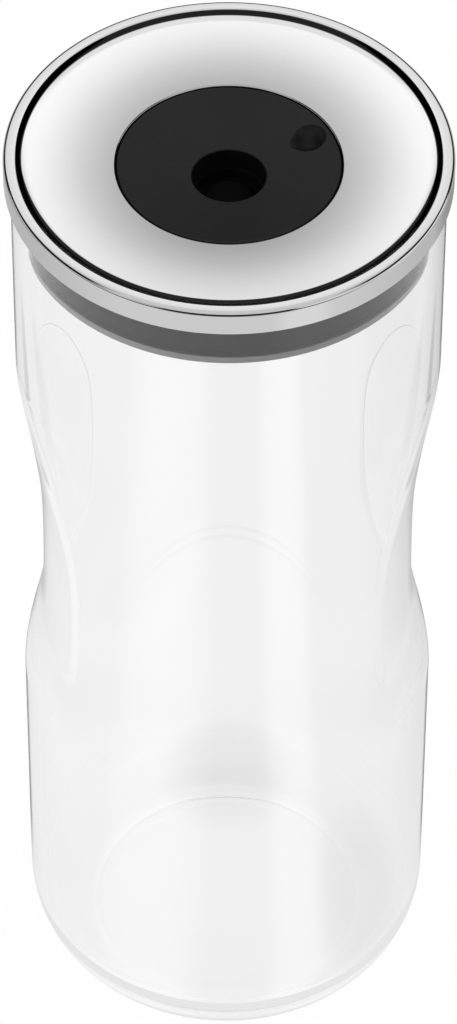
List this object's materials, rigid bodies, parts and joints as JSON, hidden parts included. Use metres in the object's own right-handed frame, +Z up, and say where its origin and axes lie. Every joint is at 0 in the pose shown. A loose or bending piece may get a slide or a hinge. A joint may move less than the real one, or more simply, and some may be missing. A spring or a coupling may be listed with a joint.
{
  "type": "vacuum seal canister",
  "caption": "Tall clear glass jar with a grip recess on each side, closed by a steel vacuum lid with a dished black vent dial and a pump socket through its middle.",
  "frame": {"origin": "middle of the footprint, at the height of the surface that the jar stands on", "axes": "+Z up along the jar's axis; grip recesses face +X and -X; the picture looks along +Y"},
  "size_m": [0.108, 0.108, 0.279],
  "materials": {
    "clear_glass": "clear, polished",
    "polished_steel": "spun and mirror polished",
    "adhesive": "cured film",
    "grey_moulding": "fine satin",
    "black_moulding": "fine satin",
    "white_moulding": "waxy",
    "smoke_silicone": "satin, slightly clear",
    "plain_steel": "plain bright"
  },
  "bodies": {
    "jar": {"glass_jar": "clear_glass"},
    "lid": {"lid_shell": "polished_steel", "bond_ring": "adhesive", "lid_core": "black_moulding", "seal_ring": "smoke_silicone", "bottom_cover": "grey_moulding", "cover_screws": "plain_steel", "filter_screen": "plain_steel", "filter_cap": "grey_moulding", "dial_washer": "white_moulding", "poppet_spring": "plain_steel", "vent_spring": "plain_steel"},
    "dial": {"vent_dial": "black_moulding", "snap_ring": "plain_steel", "hub_seal": "smoke_silicone"},
    "check_valve": {"check_poppet": "black_moulding", "poppet_seal": "smoke_silicone", "poppet_clip": "plain_steel"},
    "vent_valve": {"vent_pin": "white_moulding", "vent_seal": "smoke_silicone", "vent_clip": "plain_steel"}
  },
  "joints": [
    {"name": "lid_lift", "type": "slide", "parent": "jar", "child": "lid", "axis": [0, 0, 1], "range_m": [0, 0.1]},
    {"name": "dial_turn", "type": "hinge", "parent": "lid", "child": "dial", "pos_m": [0, 0, 0.2756], "axis": [0, 0, 1], "range_deg": [0, 60]},
    {"name": "check_lift", "type": "slide", "parent": "lid", "child": "check_valve", "axis": [0, 0, 1], "range_m": [0, 0.0015], "stiffness_N_per_m": 80, "springref_m": -0.001, "deforming": ["poppet_spring"]},
    {"name": "vent_press", "type": "slide", "parent": "lid", "child": "vent_valve", "axis": [0, 0, -1], "range_m": [0, 0.0015], "stiffness_N_per_m": 0.05, "springref_m": -0.0323, "deforming": ["vent_spring"]}
  ],
  "couplings": [
    {"joint": "vent_press", "follows": "dial_turn", "m_per_rad": 0.001432}
  ]
}
